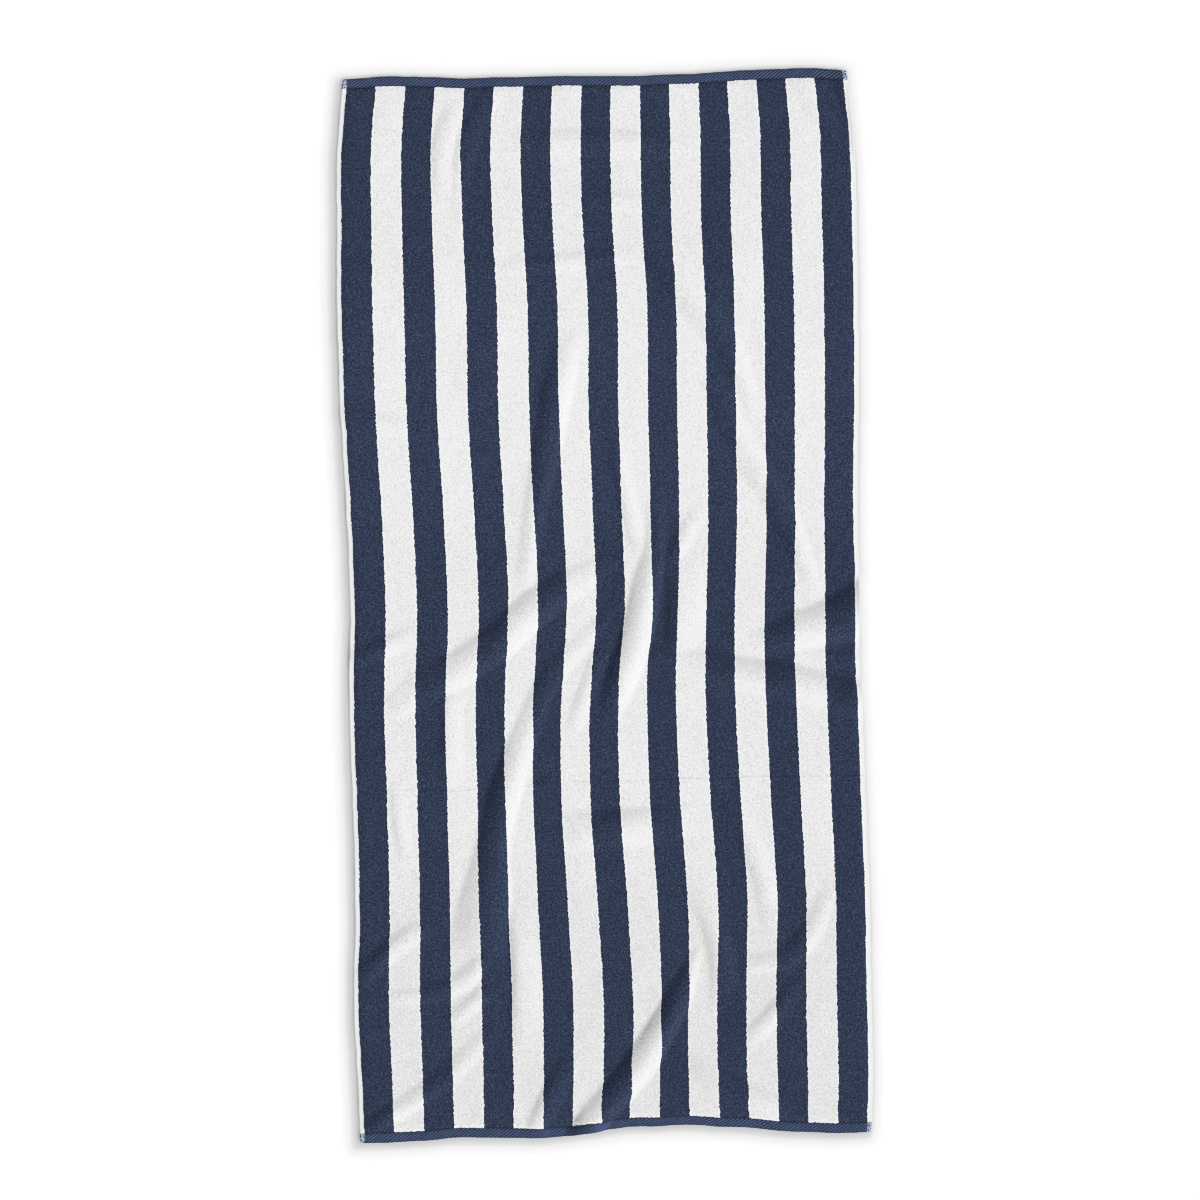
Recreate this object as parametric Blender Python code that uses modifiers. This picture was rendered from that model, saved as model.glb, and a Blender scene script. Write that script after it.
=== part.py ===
"""Beach towel, lying face up on a flat surface as it was thrown down: one sheet
of striped terry, hemmed at both ends, with the ridges and creases it lies in.

Frame: X across the towel (over the stripes), Y along it, Z up.  The origin is
the middle of the underside.  The tables are in millimetres and the scene is in
metres.

The sheet is drawn flat in its own cloth sizes (u across, v along) and every
point is then laid out:
  1. sway - the long sides, the stripes and the ends run a little off straight;
  2. ridges - each fold is a rounded roll between its two feet, given by a few
     sections (a small fold by one row), and the cloth beside it is drawn in by
     the extra length that the roll takes up;
  3. what is left flat stays exactly flat, and the 3 mm of terry is put on top.
"""

import math
from collections import namedtuple

import bmesh
import bpy
import numpy as np

# ---- driving sizes, mm -----------------------------------------------------
STRIPES = 17            # navy and white in turn, navy at both sides
STRIPE_WIDTH = 45.4
SELVEDGE = 6.0          # flat woven edge outside the last stripe
FLAT_WIDTH = STRIPES * STRIPE_WIDTH + 2 * SELVEDGE
FLAT_LENGTH = 1600.0    # with its hems turned in
THICKNESS = 3.0         # pile on both faces
CELL = 6.0              # spacing of the first, regular net
SHEET_FACES = 4550      # triangles kept in the sheet before it gets thickness
REST_GAP = 0.06         # lower than this the cloth counts as lying flat
MM = 0.001

# ---- the section of a ridge, measured from its crest -------------------
ROUND = 1.9             # 2 is a parabola, more is flatter on top
FOOT = 0.07             # rounding of the crease at the foot
CREST = 0.58            # where across a main fold its crest lies, from the first foot
RUN_OUT = 14.0          # mm past the end sections where a ridge has gone
REACH = 90.0            # mm over which the drawn-in cloth recovers
LIFT_BLEND = 4.0        # how crossing ridges merge
SETTLE_STEPS = 7        # rounds of drawing in

Sway = namedtuple("Sway", "along left left_mid middle right_mid right")
# shift of the cloth to +X at five places across it
ACROSS = (-390, -195, 0, 195, 390)
SIDES = [
    Sway(800, 12, 8, 2, -5, -13),
    Sway(700, 2, 0, -1, -2, -4),
    Sway(600, -1, 0, -1, -3, -2),
    Sway(450, -3, 4, 5, 0, -2),
    Sway(300, -1, 3, 4, -1, -4),
    Sway(150, 5, 9, 6, -2, -8),
    Sway(0, 8, 13, 7, -7, -9),
    Sway(-150, 4, 6, -4, -10, -8),
    Sway(-300, 6, 5, -5, -5, -5),
    Sway(-450, 7, 6, 3, 2, -2),
    Sway(-600, 2, 7, 8, -2, -2),
    Sway(-720, 6, 7, 5, -2, -2),
    Sway(-800, 8, 7, 1, -1, -6),
]

End = namedtuple("End", "across top bottom")
# shift of the cloth to +Y at the two hems
ENDS = [
    End(-390, -2, -5),
    End(-340, 1, -4),
    End(-295, 1, -3),
    End(-250, -1, 1),
    End(-205, -4, 1),
    End(-160, -3, -1),
    End(-115, -3, -2),
    End(-70, -3, 1),
    End(-25, -3, 6),
    End(20, -4, 11),
    End(65, -5, 12),
    End(115, -4, 13),
    End(160, -3, 9),
    End(205, -1, 7),
    End(250, 1, 2),
    End(295, 2, -1),
    End(340, 2, -3),
    End(390, -3, -2),
]
END_REACH = 170.0

Section = namedtuple("Section", "fold shade_x shade_y light_x light_y height")
# the main folds: the foot on the left or upper side, the foot on the other
# side, and the height between them
SECTIONS = [
    Section("long_sweep", -337, -135, -309, -167, 1.8),
    Section("long_sweep", -298, -102, -268, -146, 3.3),
    Section("long_sweep", -240, -70, -215, -120, 6.2),
    Section("long_sweep", -177, -29, -151, -78, 7.3),
    Section("long_sweep", -116, 24, -88, -25, 8.4),
    Section("long_sweep", -71, 49, -42, 9, 3.8),
    Section("long_sweep", 3, 81, 22, 55, 1),
    Section("knot_ridge", 68, 162, 90, 153, 1.3),
    Section("knot_ridge", 62, 104, 94, 88, 3.5),
    Section("knot_ridge", 40, 24, 83, 14, 8.5),
    Section("knot_ridge", 22, -46, 68, -62, 9.7),
    Section("knot_ridge", -2, -111, 40, -130, 7.6),
    Section("knot_ridge", -11, -162, 16, -178, 1.4),
    Section("left_long", -6, -11, 9, -27, 1),
    Section("left_long", -46, -44, -25, -67, 2),
    Section("left_long", -86, -82, -59, -105, 2.9),
    Section("left_long", -144, -187, -107, -205, 5.5),
    Section("left_long", -176, -264, -129, -277, 8.2),
    Section("left_long", -201, -354, -152, -367, 7.4),
    Section("left_long", -225, -431, -150, -431, 11),
    Section("left_long", -243, -497, -156, -488, 8),
    Section("left_long", -252, -534, -160, -533, 1.5),
    Section("hem_ridge", 123, -520, 135, -531, 1.3),
    Section("hem_ridge", 87, -577, 118, -599, 6.6),
    Section("hem_ridge", 59, -623, 96, -645, 10.2),
    Section("hem_ridge", 25, -671, 70, -691, 9.5),
    Section("hem_ridge", -15, -721, 29, -743, 8.8),
    Section("hem_ridge", -46, -757, -3, -777, 8.2),
    Section("hem_ridge", -74, -794, -32, -815, 7.5),
    Section("side_upper", 227, -46, 231, -76, 1.3),
    Section("side_upper", 276, -20, 279, -74, 7.5),
    Section("side_upper", 327, -1, 332, -67, 10.5),
    Section("side_upper", 370, 25, 374, -61, 13),
    Section("side_upper", 413, 50, 420, -53, 14),
    Section("side_lower", 67, -56, 69, -85, 1.3),
    Section("side_lower", 136, -68, 137, -116, 5),
    Section("side_lower", 202, -82, 200, -131, 9),
    Section("side_lower", 270, -93, 266, -148, 12.5),
    Section("side_lower", 337, -110, 332, -164, 10),
    Section("side_lower", 412, -128, 407, -185, 8),
    Section("upper_left", -68, 409, -26, 393, 1.5),
    Section("upper_left", -89, 333, -42, 323, 6.2),
    Section("upper_left", -104, 250, -60, 242, 4.8),
    Section("upper_left", -117, 172, -80, 165, 4),
    Section("upper_left", -128, 92, -95, 87, 3),
    Section("upper_left", -135, 37, -109, 32, 1),
    Section("left_low_4", -372, -767, -359, -789, 2.6),
    Section("left_low_4", -317, -732, -303, -760, 3.6),
    Section("left_low_4", -262, -693, -239, -717, 3.2),
    Section("left_low_4", -225, -659, -203, -682, 2.6),
    Section("left_low_4", -192, -629, -174, -646, 1),
    Section("left_low_2", -335, -577, -333, -599, 1.3),
    Section("left_low_2", -272, -566, -265, -593, 2.8),
    Section("left_low_2", -225, -542, -205, -567, 4.2),
    Section("left_low_2", -201, -508, -178, -527, 3.5),
    Section("left_low_2", -187, -472, -168, -482, 1.3),
    Section("right_low_1", 199, -537, 202, -560, 1.3),
    Section("right_low_1", 248, -524, 261, -556, 2.9),
    Section("right_low_1", 289, -487, 311, -515, 3.8),
    Section("right_low_1", 319, -431, 341, -443, 1),
    Section("upper_right_2", 153, 327, 186, 343, 1.3),
    Section("upper_right_2", 181, 248, 218, 267, 3.5),
    Section("upper_right_2", 232, 158, 269, 178, 5.5),
    Section("upper_right_2", 272, 85, 304, 104, 5.2),
    Section("upper_right_2", 303, 16, 325, 26, 1.3),
    Section("upper_right_1", 63, 521, 81, 538, 1.3),
    Section("upper_right_1", 113, 456, 149, 479, 5.2),
    Section("upper_right_1", 163, 385, 204, 409, 5.2),
    Section("upper_right_1", 201, 323, 231, 340, 3.5),
    Section("upper_right_1", 221, 283, 241, 295, 1.3),
]

Fold = namedtuple("Fold", "name x0 y0 x1 y1 x2 y2 peak height shade light")
# the small folds: start, a middle point and end of the crest; where along it
# the peak is (0-1); its height; half widths on the upper left side and on the
# other side
FOLDS = [
    Fold("sweep_branch", -394, -81, -333, -59, -268, -35, 0.45, 3.8, 17, 14),
    Fold("knot_left", 7, 302, 33, 172, 58, 58, 0.6, 3, 13, 14),
    Fold("knot_right", 152, 150, 124, 104, 90, 47, 0.55, 3, 14, 13),
    Fold("knot_low", 111, 65, 116, -8, 104, -92, 0.5, 6, 24, 34),
    Fold("left_tail", -147, -440, -139, -541, -146, -687, 0.45, 4.7, 13, 30),
    Fold("left_top", -1, -54, -30, -128, -58, -206, 0.45, 3, 13, 14),
    Fold("hem_hook", 119, -424, 156, -506, 157, -621, 0.5, 5.1, 16, 24),
    Fold("side_crease", 235, -76, 293, -82, 413, -92, 0.8, 2.6, 12, 12),
    Fold("mid_step", -80, -342, 13, -336, 122, -335, 0.5, 7.2, 27, 30),
    Fold("right_soft", 162, -277, 222, -390, 242, -511, 0.55, 3.8, 17, 18),
    Fold("right_low_2", 194, -667, 234, -630, 286, -566, 0.45, 3.8, 14, 16),
    Fold("right_low_3", 106, -686, 179, -739, 267, -774, 0.55, 7, 16, 22),
    Fold("left_low_1", -392, -568, -331, -513, -267, -471, 0.5, 4.2, 15, 17),
    Fold("left_low_3", -249, -629, -212, -598, -172, -569, 0.5, 3.4, 13, 13),
    Fold("left_low_5", -126, -805, -105, -757, -60, -674, 0.4, 5.1, 16, 20),
    Fold("left_high", -409, 301, -334, 279, -262, 256, 0.45, 3.4, 16, 20),
    Fold("top_soft", -148, 700, 6, 699, 165, 685, 0.5, 3.8, 18, 24),
    Fold("corner_1", 291, 795, 327, 749, 374, 678, 0.5, 2.2, 15, 16),
    Fold("corner_2", 367, 817, 393, 747, 406, 651, 0.5, 6.8, 22, 18),
    Fold("top_arc", -201, 777, -231, 708, -228, 599, 0.5, 3, 15, 20),
    Fold("top_line", -155, 511, -58, 518, 86, 532, 0.45, 2.6, 13, 15),
    Fold("top_faint", -56, 626, 4, 615, 100, 595, 0.5, 2.4, 13, 15),
    Fold("top_arc_2", -149, 782, -184, 731, -196, 560, 0.4, 2.7, 14, 20),
    Fold("left_arc", -323, -255, -320, -307, -303, -398, 0.5, 2.6, 9, 16),
    Fold("left_edge", -235, -130, -239, -185, -241, -278, 0.4, 3.4, 13, 22),
]


def between(q, stations, values):
    """Smooth curve through a table's values (cubic between stations)."""
    order = np.argsort(stations)
    s = np.asarray(stations, float)[order]
    w = np.asarray(values, float)[order]
    slope = np.gradient(w, s)
    i = np.clip(np.searchsorted(s, q) - 1, 0, len(s) - 2)
    gap = s[i + 1] - s[i]
    t = np.clip((q - s[i]) / gap, 0, 1)
    return (
        (2 * t**3 - 3 * t**2 + 1) * w[i]
        + (t**3 - 2 * t**2 + t) * gap * slope[i]
        + (3 * t**2 - 2 * t**3) * w[i + 1]
        + (t**3 - t**2) * gap * slope[i + 1]
    )


def sway(u, v):
    along = [row.along for row in SIDES]
    lines = [between(v, along, [row[i] for row in SIDES]) for i in range(1, 6)]
    x = u.copy()
    for i, line in enumerate(lines):
        share = between(u, ACROSS, [float(i == j) for j in range(len(ACROSS))])
        x += line * share
    across = [row.across for row in ENDS]
    top = between(u, across, [row.top for row in ENDS])
    bottom = between(u, across, [row.bottom for row in ENDS])
    y = (
        v
        + top * np.exp(-(FLAT_LENGTH / 2 - v) / END_REACH)
        + bottom * np.exp(-(FLAT_LENGTH / 2 + v) / END_REACH)
    )
    return x, y


def roll(r):
    """Height of a ridge 1 high at r half widths from its crest."""
    side = 1 - np.minimum(r, 3.0) ** ROUND
    return np.logaddexp(0, side / FOOT) / np.logaddexp(0, 1 / FOOT)


def slope_table(steps=640, last=1.6):
    """(r, share of the squared slope up to r, all of it) of the roll."""
    r = np.linspace(0, last, steps + 1)
    d = np.gradient(roll(r), r)
    part = (d[1:] ** 2 + d[:-1] ** 2) / 2 * np.diff(r)
    total = float(part.sum())
    return r, np.concatenate([[0.0], np.cumsum(part)]) / total, total


SLOPE_R, SLOPE_SHARE, SLOPE_TOTAL = slope_table()


def lofted(rows):
    """The main fold of these sections: a function of x, y that gives the
    distance from the crest, the width on that side, the height and the direction."""
    shade = np.array([(row.shade_x, row.shade_y) for row in rows], float)
    light = np.array([(row.light_x, row.light_y) for row in rows], float)
    start, end = (shade[0] + light[0]) / 2, (shade[-1] + light[-1]) / 2
    tx, ty = (end - start) / math.hypot(*(end - start))
    nx, ny = -ty, tx
    if ((light - shade) @ (nx, ny)).mean() < 0:
        nx, ny = -nx, -ny
    shade_s, shade_o = (shade - start) @ (tx, ty), (shade - start) @ (nx, ny)
    light_s, light_o = (light - start) @ (tx, ty), (light - start) @ (nx, ny)
    mid_s = (shade_s + light_s) / 2
    height_s = np.concatenate([[mid_s[0] - RUN_OUT], mid_s, [mid_s[-1] + RUN_OUT]])
    height = [0.0, *(row.height for row in rows), 0.0]

    def at(x, y):
        s = (x - start[0]) * tx + (y - start[1]) * ty
        o = (x - start[0]) * nx + (y - start[1]) * ny
        near, far = between(s, shade_s, shade_o), between(s, light_s, light_o)
        up = np.maximum(between(s, height_s, height), 0)
        up = np.where((s > height_s[0]) & (s < height_s[-1]), up, 0)
        off = o - near - CREST * (far - near)
        return off, np.maximum(far - near, 8.0) * np.where(off < 0, CREST, 1 - CREST), up

    return at, nx, ny


def bowed(row):
    """The same for a small fold."""
    length = math.hypot(row.x2 - row.x0, row.y2 - row.y0)
    tx, ty = (row.x2 - row.x0) / length, (row.y2 - row.y0) / length
    nx, ny = -ty, tx
    if 0.88 * nx - 0.47 * ny < 0:
        nx, ny = -nx, -ny
    mid = ((row.x1 - row.x0) * tx + (row.y1 - row.y0) * ty) / length
    bow = ((row.x1 - row.x0) * nx + (row.y1 - row.y0) * ny) / (mid * (1 - mid))

    def at(x, y):
        s = ((x - row.x0) * tx + (y - row.y0) * ty) / length
        on = (s > 0) & (s < 1)
        s = np.clip(s, 1e-4, 1 - 1e-4)
        off = (x - row.x0) * nx + (y - row.y0) * ny - bow * s * (1 - s)
        rise = np.sin(math.pi * s ** (math.log(0.5) / math.log(row.peak)))
        return off, np.where(off < 0, row.shade, row.light), row.height * rise * on

    return at, nx, ny


def ridges():
    names = list(dict.fromkeys(row.fold for row in SECTIONS))
    main = [lofted([row for row in SECTIONS if row.fold == name]) for name in names]
    return main + [bowed(row) for row in FOLDS]


def raised(x, y, folds):
    """Height at x, y and how far the cloth there was drawn in, to x and y."""
    lift, in_x, in_y = np.zeros_like(x), np.zeros_like(x), np.zeros_like(x)
    for at, nx, ny in folds:
        off, half, height = at(x, y)
        on = height > 1e-4
        off, half, height = off[on], half[on], height[on]
        r = np.abs(off) / half
        lift[on] += (height * roll(r)) ** LIFT_BLEND
        taken = half * (np.sqrt(1 + SLOPE_TOTAL * (height / half) ** 2) - 1)
        drawn = (
            np.sign(off)
            * taken
            * np.interp(r, SLOPE_R, SLOPE_SHARE)
            * np.exp(-np.maximum(np.abs(off) - half, 0) / REACH)
        )
        in_x[on] += nx * drawn
        in_y[on] += ny * drawn
    return lift ** (1 / LIFT_BLEND), in_x, in_y


def laid_out(u, v):
    """Where the cloth point u, v comes to lie."""
    folds = ridges()
    goal_x, goal_y = sway(u, v)
    x, y = goal_x.copy(), goal_y.copy()
    for _ in range(SETTLE_STEPS):
        z, in_x, in_y = raised(x, y, folds)
        x += 0.8 * (goal_x - in_x - x)
        y += 0.8 * (goal_y - in_y - y)
    z = raised(x, y, folds)[0]
    return x, y, np.maximum(z - REST_GAP, 0)


def material(name, colour, roughness):
    made = bpy.data.materials.new(name)
    made.use_nodes = True
    shader = made.node_tree.nodes["Principled BSDF"]
    shader.inputs["Base Color"].default_value = (*colour, 1)
    shader.inputs["Roughness"].default_value = roughness
    shader.inputs["Metallic"].default_value = 0.0
    return made


def laid_net():
    """The flat net of the cloth, laid out in its ridges, as a mesh in metres."""
    across = round(FLAT_WIDTH / CELL)
    down = round(FLAT_LENGTH / CELL)
    net = bmesh.new()
    bmesh.ops.create_grid(net, x_segments=across, y_segments=down, size=0.5)
    u = np.array([p.co.x for p in net.verts], float) * FLAT_WIDTH
    v = np.array([p.co.y for p in net.verts], float) * FLAT_LENGTH
    x, y, z = laid_out(u, v)
    for point, px, py, pz in zip(net.verts, x, y, z):
        point.co = (px * MM, py * MM, pz * MM)
    bmesh.ops.triangulate(net, faces=net.faces[:])
    mesh = bpy.data.meshes.new("towel_net")
    net.to_mesh(mesh)
    net.free()
    return mesh


def thinned(mesh, collection):
    """The net with fewer triangles where the cloth is flat or runs straight."""
    holder = bpy.data.objects.new("towel_net", mesh)
    collection.objects.link(holder)
    decimate = holder.modifiers.new("fewer", "DECIMATE")
    decimate.decimate_type = "COLLAPSE"
    decimate.ratio = SHEET_FACES / len(mesh.polygons)
    bpy.context.view_layer.update()
    graph = bpy.context.evaluated_depsgraph_get()
    made = bpy.data.meshes.new_from_object(holder.evaluated_get(graph))
    bpy.data.objects.remove(holder)
    bpy.data.meshes.remove(mesh)
    made.name = "towel"
    tidy = bmesh.new()
    tidy.from_mesh(made)
    loose = [point for point in tidy.verts if not point.link_faces]
    bmesh.ops.delete(tidy, geom=loose, context="VERTS")
    for point in tidy.verts:
        if point.co.z < REST_GAP * MM:
            point.co.z = 0.0
    tidy.to_mesh(made)
    tidy.free()
    return made


def centre_shift(obj):
    """Moves the mesh so that the middle of the finished sheet's box is over the origin."""
    bpy.context.view_layer.update()
    graph = bpy.context.evaluated_depsgraph_get()
    seen = obj.evaluated_get(graph)
    shape = seen.to_mesh()
    points = np.empty(len(shape.vertices) * 3)
    shape.vertices.foreach_get("co", points)
    seen.to_mesh_clear()
    points = points.reshape(-1, 3)
    middle = (points.min(axis=0) + points.max(axis=0)) / 2
    for point in obj.data.vertices:
        point.co.x -= middle[0]
        point.co.y -= middle[1]


def build():
    for old in list(bpy.data.objects):
        bpy.data.objects.remove(old, do_unlink=True)
    collection = bpy.data.collections.new("beach_towel")
    bpy.context.scene.collection.children.link(collection)

    towel = bpy.data.objects.new("towel", thinned(laid_net(), collection))
    collection.objects.link(towel)
    terry = towel.modifiers.new("terry", "SOLIDIFY")
    terry.thickness = THICKNESS * MM
    terry.offset = 1.0
    terry.use_even_offset = False
    terry.show_viewport = terry.show_render = True
    towel.data.materials.append(material("navy_and_white_terry", (0.30, 0.31, 0.35), 0.95))
    towel.data.shade_smooth()
    towel.data.set_sharp_from_angle(angle=math.radians(50))
    centre_shift(towel)


build()
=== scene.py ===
"""Looks of the beach towel: the terry cloth with its stripes, flat hems,
selvedges and sewing, on a plain pale floor.

The cloth is laid out by the same tables and rules as its solid, in millimetres
(u across the cloth, v along it), then scaled to metres and centred on the frame.
"""

import math
from collections import namedtuple
import bpy
import numpy as np
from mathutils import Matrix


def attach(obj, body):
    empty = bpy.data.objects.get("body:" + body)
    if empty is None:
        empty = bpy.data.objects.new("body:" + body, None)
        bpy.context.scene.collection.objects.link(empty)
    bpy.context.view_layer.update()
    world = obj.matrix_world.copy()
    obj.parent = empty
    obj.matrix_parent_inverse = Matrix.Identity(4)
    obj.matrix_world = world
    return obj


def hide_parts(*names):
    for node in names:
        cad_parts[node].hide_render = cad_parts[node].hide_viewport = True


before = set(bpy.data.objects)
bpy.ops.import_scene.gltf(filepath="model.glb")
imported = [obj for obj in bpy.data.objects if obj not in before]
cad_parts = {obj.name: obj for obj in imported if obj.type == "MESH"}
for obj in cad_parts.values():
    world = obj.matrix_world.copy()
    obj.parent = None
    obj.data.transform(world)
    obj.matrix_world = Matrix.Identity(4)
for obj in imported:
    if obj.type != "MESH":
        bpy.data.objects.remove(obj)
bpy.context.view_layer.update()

# ---- driving sizes, mm -----------------------------------------------------
STRIPES = 17
STRIPE_WIDTH = 45.4
SELVEDGE = 6.0
FLAT_WIDTH = STRIPES * STRIPE_WIDTH + 2 * SELVEDGE
FLAT_LENGTH = 1600.0
HEM = 14.0              # depth of the flat hem at both ends
PILE = 3.0              # thickness of the cloth with its loops
HEM_THICK = 2.3         # three layers of plain twill
SELVEDGE_THICK = 1.4
REST_GAP = 0.06
MM = 0.001

# ---- the net: cells across and along (each count divides by UNDER) ------------
EDGE_ROWS = (0.0, 1.6, 3.6)                       # in the selvedge, from the side
HEM_ROWS = (0.0, 1.6, 4.4, 7.4, 10.4, 12.9)       # in the hem, from the end
CELLS_ACROSS = 174
CELLS_ALONG = 354
UNDER = 3               # the underside has one cell for this many of the top
RIM_ANGLES = (52, 8, -38)  # degrees, the rings that round the edge
RIM_BULGE = 0.75
'''
'''
# ---- the section of a ridge, measured from its crest -------------------
ROUND = 1.9             # 2 is a parabola, more is flatter on top
FOOT = 0.07             # rounding of the crease at the foot
CREST = 0.58            # where across a main fold its crest lies, from the first foot
RUN_OUT = 14.0          # mm past the end sections where a ridge has gone
REACH = 90.0            # mm over which the drawn-in cloth recovers
LIFT_BLEND = 4.0        # how crossing ridges merge
SETTLE_STEPS = 7        # rounds of drawing in

Sway = namedtuple("Sway", "along left left_mid middle right_mid right")
# shift of the cloth to +X at five places across it
ACROSS = (-390, -195, 0, 195, 390)
SIDES = [
    Sway(800, 12, 8, 2, -5, -13),
    Sway(700, 2, 0, -1, -2, -4),
    Sway(600, -1, 0, -1, -3, -2),
    Sway(450, -3, 4, 5, 0, -2),
    Sway(300, -1, 3, 4, -1, -4),
    Sway(150, 5, 9, 6, -2, -8),
    Sway(0, 8, 13, 7, -7, -9),
    Sway(-150, 4, 6, -4, -10, -8),
    Sway(-300, 6, 5, -5, -5, -5),
    Sway(-450, 7, 6, 3, 2, -2),
    Sway(-600, 2, 7, 8, -2, -2),
    Sway(-720, 6, 7, 5, -2, -2),
    Sway(-800, 8, 7, 1, -1, -6),
]

End = namedtuple("End", "across top bottom")
# shift of the cloth to +Y at the two hems
ENDS = [
    End(-390, -2, -5),
    End(-340, 1, -4),
    End(-295, 1, -3),
    End(-250, -1, 1),
    End(-205, -4, 1),
    End(-160, -3, -1),
    End(-115, -3, -2),
    End(-70, -3, 1),
    End(-25, -3, 6),
    End(20, -4, 11),
    End(65, -5, 12),
    End(115, -4, 13),
    End(160, -3, 9),
    End(205, -1, 7),
    End(250, 1, 2),
    End(295, 2, -1),
    End(340, 2, -3),
    End(390, -3, -2),
]
END_REACH = 170.0

Section = namedtuple("Section", "fold shade_x shade_y light_x light_y height")
# the main folds: the foot on the left or upper side, the foot on the other
# side, and the height between them
SECTIONS = [
    Section("long_sweep", -337, -135, -309, -167, 1.8),
    Section("long_sweep", -298, -102, -268, -146, 3.3),
    Section("long_sweep", -240, -70, -215, -120, 6.2),
    Section("long_sweep", -177, -29, -151, -78, 7.3),
    Section("long_sweep", -116, 24, -88, -25, 8.4),
    Section("long_sweep", -71, 49, -42, 9, 3.8),
    Section("long_sweep", 3, 81, 22, 55, 1),
    Section("knot_ridge", 68, 162, 90, 153, 1.3),
    Section("knot_ridge", 62, 104, 94, 88, 3.5),
    Section("knot_ridge", 40, 24, 83, 14, 8.5),
    Section("knot_ridge", 22, -46, 68, -62, 9.7),
    Section("knot_ridge", -2, -111, 40, -130, 7.6),
    Section("knot_ridge", -11, -162, 16, -178, 1.4),
    Section("left_long", -6, -11, 9, -27, 1),
    Section("left_long", -46, -44, -25, -67, 2),
    Section("left_long", -86, -82, -59, -105, 2.9),
    Section("left_long", -144, -187, -107, -205, 5.5),
    Section("left_long", -176, -264, -129, -277, 8.2),
    Section("left_long", -201, -354, -152, -367, 7.4),
    Section("left_long", -225, -431, -150, -431, 11),
    Section("left_long", -243, -497, -156, -488, 8),
    Section("left_long", -252, -534, -160, -533, 1.5),
    Section("hem_ridge", 123, -520, 135, -531, 1.3),
    Section("hem_ridge", 87, -577, 118, -599, 6.6),
    Section("hem_ridge", 59, -623, 96, -645, 10.2),
    Section("hem_ridge", 25, -671, 70, -691, 9.5),
    Section("hem_ridge", -15, -721, 29, -743, 8.8),
    Section("hem_ridge", -46, -757, -3, -777, 8.2),
    Section("hem_ridge", -74, -794, -32, -815, 7.5),
    Section("side_upper", 227, -46, 231, -76, 1.3),
    Section("side_upper", 276, -20, 279, -74, 7.5),
    Section("side_upper", 327, -1, 332, -67, 10.5),
    Section("side_upper", 370, 25, 374, -61, 13),
    Section("side_upper", 413, 50, 420, -53, 14),
    Section("side_lower", 67, -56, 69, -85, 1.3),
    Section("side_lower", 136, -68, 137, -116, 5),
    Section("side_lower", 202, -82, 200, -131, 9),
    Section("side_lower", 270, -93, 266, -148, 12.5),
    Section("side_lower", 337, -110, 332, -164, 10),
    Section("side_lower", 412, -128, 407, -185, 8),
    Section("upper_left", -68, 409, -26, 393, 1.5),
    Section("upper_left", -89, 333, -42, 323, 6.2),
    Section("upper_left", -104, 250, -60, 242, 4.8),
    Section("upper_left", -117, 172, -80, 165, 4),
    Section("upper_left", -128, 92, -95, 87, 3),
    Section("upper_left", -135, 37, -109, 32, 1),
    Section("left_low_4", -372, -767, -359, -789, 2.6),
    Section("left_low_4", -317, -732, -303, -760, 3.6),
    Section("left_low_4", -262, -693, -239, -717, 3.2),
    Section("left_low_4", -225, -659, -203, -682, 2.6),
    Section("left_low_4", -192, -629, -174, -646, 1),
    Section("left_low_2", -335, -577, -333, -599, 1.3),
    Section("left_low_2", -272, -566, -265, -593, 2.8),
    Section("left_low_2", -225, -542, -205, -567, 4.2),
    Section("left_low_2", -201, -508, -178, -527, 3.5),
    Section("left_low_2", -187, -472, -168, -482, 1.3),
    Section("right_low_1", 199, -537, 202, -560, 1.3),
    Section("right_low_1", 248, -524, 261, -556, 2.9),
    Section("right_low_1", 289, -487, 311, -515, 3.8),
    Section("right_low_1", 319, -431, 341, -443, 1),
    Section("upper_right_2", 153, 327, 186, 343, 1.3),
    Section("upper_right_2", 181, 248, 218, 267, 3.5),
    Section("upper_right_2", 232, 158, 269, 178, 5.5),
    Section("upper_right_2", 272, 85, 304, 104, 5.2),
    Section("upper_right_2", 303, 16, 325, 26, 1.3),
    Section("upper_right_1", 63, 521, 81, 538, 1.3),
    Section("upper_right_1", 113, 456, 149, 479, 5.2),
    Section("upper_right_1", 163, 385, 204, 409, 5.2),
    Section("upper_right_1", 201, 323, 231, 340, 3.5),
    Section("upper_right_1", 221, 283, 241, 295, 1.3),
]

Fold = namedtuple("Fold", "name x0 y0 x1 y1 x2 y2 peak height shade light")
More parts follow.
